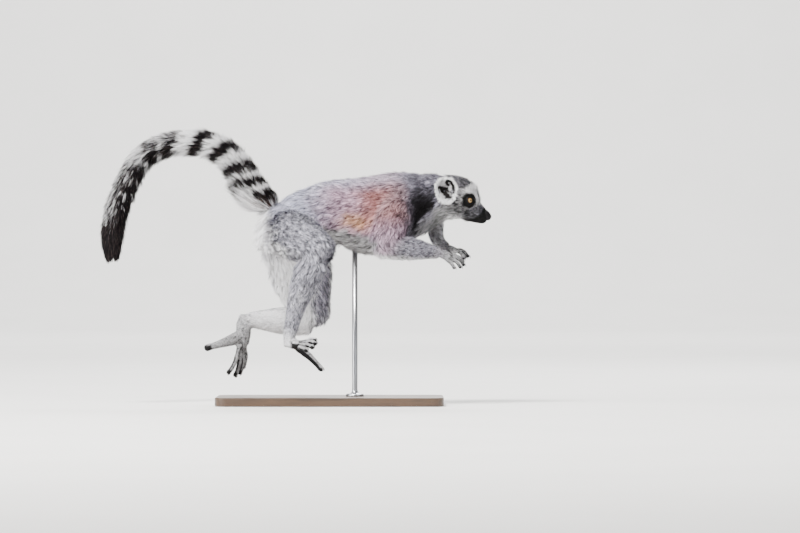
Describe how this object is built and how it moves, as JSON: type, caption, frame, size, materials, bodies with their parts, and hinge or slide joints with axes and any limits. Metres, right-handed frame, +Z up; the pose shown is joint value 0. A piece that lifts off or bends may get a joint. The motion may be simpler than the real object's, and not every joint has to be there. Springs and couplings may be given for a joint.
{
  "type": "ring-tailed lemur model",
  "caption": "Life-size still model of a ring-tailed lemur in mid-leap, its long banded tail arched up and back, held over a flat base by a short rod.",
  "frame": {"origin": "centre of the underside of the stand's base", "axes": "+X forward, the way the lemur leaps; +Y to the lemur's left; +Z up"},
  "size_m": [0.7257, 0.2592, 0.511],
  "materials": {
    "fur_back": "dense soft coat, grey with a rufous-brown wash over the shoulders",
    "fur_limb": "short soft coat, pale grey flecked with dark grey",
    "fur_pale": "short soft coat, white to pale grey",
    "tail_white": "long spiky hair, white",
    "tail_black": "long spiky hair, black",
    "nose_leather": "bare moist skin, black",
    "eye_amber": "glass-like eye, amber with a dark pupil",
    "base_wood": "dark stained hardwood, satin",
    "rod_steel": "round steel bar, satin"
  },
  "bodies": {
    "root": {"big_toe_left": "fur_pale", "big_toe_right": "fur_pale", "ear_left": "fur_pale", "ear_right": "fur_pale", "eye_left": "eye_amber", "eye_right": "eye_amber", "foot_left": "fur_pale", "foot_right": "fur_pale", "forearm_left": "fur_limb", "forearm_right": "fur_limb", "hand_left": "fur_pale", "hand_right": "fur_pale", "head": "fur_pale", "neck": "fur_back", "nose": "nose_leather", "shank_left": "fur_limb", "shank_right": "fur_limb", "stand_base": "base_wood", "stand_rod": "rod_steel", "tail_01": "tail_white", "tail_02": "tail_black", "tail_03": "tail_white", "tail_04": "tail_black", "tail_05": "tail_white", "tail_06": "tail_black", "tail_07": "tail_white", "tail_08": "tail_black", "tail_09": "tail_white", "tail_10": "tail_black", "tail_11": "tail_white", "tail_12": "tail_black", "tail_13": "tail_white", "tail_14": "tail_black", "tail_15": "tail_white", "tail_16": "tail_black", "tail_17": "tail_white", "tail_18": "tail_black", "tail_19": "tail_white", "tail_20": "tail_black", "tail_21": "tail_white", "tail_22": "tail_black", "thigh_left": "fur_limb", "thigh_right": "fur_limb", "torso": "fur_back", "upper_arm_left": "fur_back", "upper_arm_right": "fur_back"}
  },
  "joints": []
}
